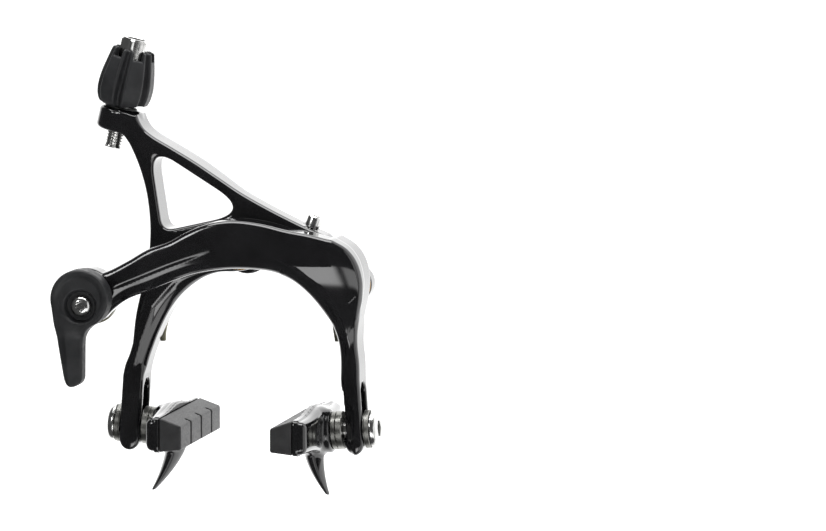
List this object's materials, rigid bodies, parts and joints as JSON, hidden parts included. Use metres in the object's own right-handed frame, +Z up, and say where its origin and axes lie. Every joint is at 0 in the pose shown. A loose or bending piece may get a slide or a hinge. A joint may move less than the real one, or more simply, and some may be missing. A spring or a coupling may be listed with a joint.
{
  "type": "rim brake caliper",
  "caption": "Dual-pivot rim brake caliper: two curved arms with a truss stay, barrel adjuster, quick-release lever and brake pads.",
  "frame": {"origin": "on the mounting bolt's axis, in the plane of the rear clamping face", "axes": "+X to the right as seen from the front, -Y to the front, +Y along the mounting bolt into the frame, +Z up"},
  "size_m": [0.0895, 0.055, 0.1281],
  "materials": {
    "gloss_black_paint": "high gloss black over forged aluminium",
    "satin_black_plastic": "satin moulded nylon",
    "black_oxide_steel": "black oxide, satin",
    "bright_steel": "bright stainless, fine turned grain",
    "pad_washer_steel": "zinc plated, slightly grey",
    "spring_steel": "oiled dark steel",
    "bearing_bronze": "sintered bronze",
    "pad_rubber": "moulded brake compound, matt",
    "seal_rubber": "soft rubber"
  },
  "bodies": {
    "bracket": {"bracket": "gloss_black_paint", "mounting_bolt": "bright_steel", "mounting_washer": "bright_steel", "centre_pivot_nut": "bright_steel", "centre_pivot_front_washer": "bearing_bronze", "centre_pivot_rear_washer": "bearing_bronze", "side_pivot_bolt": "black_oxide_steel", "side_pivot_washer": "bearing_bronze", "return_spring": "spring_steel"},
    "rear_arm": {"rear_arm": "gloss_black_paint", "rear_arm_bush": "bearing_bronze", "rear_arm_spring_slider": "satin_black_plastic"},
    "front_arm": {"front_arm": "gloss_black_paint", "front_arm_bush": "bearing_bronze", "front_arm_spring_slider": "satin_black_plastic", "quick_release_washer": "spring_steel"},
    "adjuster_carrier": {"adjuster_seal": "seal_rubber"},
    "adjuster": {"adjuster_barrel": "bright_steel", "adjuster_grip": "satin_black_plastic"},
    "centring_screw": {"centring_screw": "bright_steel"},
    "quick_release": {"quick_release_lever": "satin_black_plastic", "quick_release_cam": "bright_steel"},
    "cable_anchor": {"cable_bolt": "bright_steel", "cable_clamp_washer": "spring_steel", "cable_clamp_nut": "bright_steel"},
    "left_pad_clamp": {"left_pad_inner_cup_washer": "pad_washer_steel", "left_pad_outer_dome_washer": "pad_washer_steel"},
    "left_pad_swivel": {"left_pad_bolt": "bright_steel", "left_pad_inner_dome_washer": "pad_washer_steel", "left_pad_outer_cup_washer": "pad_washer_steel"},
    "left_pad": {"left_pad_holder": "gloss_black_paint", "left_pad_insert": "pad_rubber", "left_pad_lock_screw": "spring_steel"},
    "right_pad_clamp": {"right_pad_inner_cup_washer": "pad_washer_steel", "right_pad_outer_dome_washer": "pad_washer_steel"},
    "right_pad_swivel": {"right_pad_bolt": "bright_steel", "right_pad_inner_dome_washer": "pad_washer_steel", "right_pad_outer_cup_washer": "pad_washer_steel"},
    "right_pad": {"right_pad_holder": "gloss_black_paint", "right_pad_insert": "pad_rubber", "right_pad_lock_screw": "spring_steel"}
  },
  "joints": [
    {"name": "front_arm_pivot", "type": "hinge", "parent": "bracket", "child": "front_arm", "pos_m": [0.0304, -0.011, -0.0093], "axis": [0, 1, 0], "range_deg": [0, 9], "stiffness_Nm_per_rad": 1.2, "springref_deg": -20.05, "deforming": ["return_spring"]},
    {"name": "rear_arm_pivot", "type": "hinge", "parent": "bracket", "child": "rear_arm", "pos_m": [0, -0.011, 0], "axis": [0, 1, 0], "range_deg": [-7.3, 0]},
    {"name": "adjuster_lift", "type": "slide", "parent": "rear_arm", "child": "adjuster_carrier", "axis": [0.2267, 0, 0.974], "range_m": [0, 0.00319]},
    {"name": "adjuster_turn", "type": "hinge", "parent": "adjuster_carrier", "child": "adjuster", "pos_m": [-0.0381, -0.011, 0.0285], "axis": [0.2267, 0, 0.974], "range_deg": [0, 1440]},
    {"name": "centring_screw_turn", "type": "hinge", "parent": "rear_arm", "child": "centring_screw", "pos_m": [0.017, -0.0125, -0.001], "axis": [0.342, 0, 0.9397], "range_deg": [-360, 360]},
    {"name": "quick_release_turn", "type": "hinge", "parent": "front_arm", "child": "quick_release", "pos_m": [-0.0421, -0.027, -0.0124], "axis": [0, 1, 0], "range_deg": [0, 110]},
    {"name": "cable_anchor_pivot", "type": "hinge", "parent": "quick_release", "child": "cable_anchor", "pos_m": [-0.0418, -0.027, -0.0144], "axis": [0, 1, 0], "range_deg": [-110, 110]},
    {"name": "left_pad_height", "type": "slide", "parent": "rear_arm", "child": "left_pad_clamp", "axis": [0.0698, 0, 0.9976], "range_m": [0, 0.0095]},
    {"name": "left_pad_toe", "type": "hinge", "parent": "left_pad_clamp", "child": "left_pad_swivel", "pos_m": [-0.02003, -0.011, -0.05084], "axis": [0.0698, 0, 0.9976], "range_deg": [-2, 2]},
    {"name": "left_pad_tilt", "type": "hinge", "parent": "left_pad_swivel", "child": "left_pad", "pos_m": [-0.02003, -0.011, -0.05084], "axis": [0.9976, 0, -0.0698], "range_deg": [-10, 10]},
    {"name": "right_pad_height", "type": "slide", "parent": "front_arm", "child": "right_pad_clamp", "axis": [-0.0698, 0, 0.9976], "range_m": [0, 0.0095]},
    {"name": "right_pad_toe", "type": "hinge", "parent": "right_pad_clamp", "child": "right_pad_swivel", "pos_m": [0.02003, -0.011, -0.05084], "axis": [-0.0698, 0, 0.9976], "range_deg": [-2, 2]},
    {"name": "right_pad_tilt", "type": "hinge", "parent": "right_pad_swivel", "child": "right_pad", "pos_m": [0.02003, -0.011, -0.05084], "axis": [0.9976, 0, 0.0698], "range_deg": [-10, 10]}
  ],
  "couplings": [
    {"joint": "rear_arm_pivot", "follows": "front_arm_pivot", "ratio": -0.8},
    {"joint": "adjuster_turn", "follows": "adjuster_lift", "rad_per_m": 7854}
  ]
}
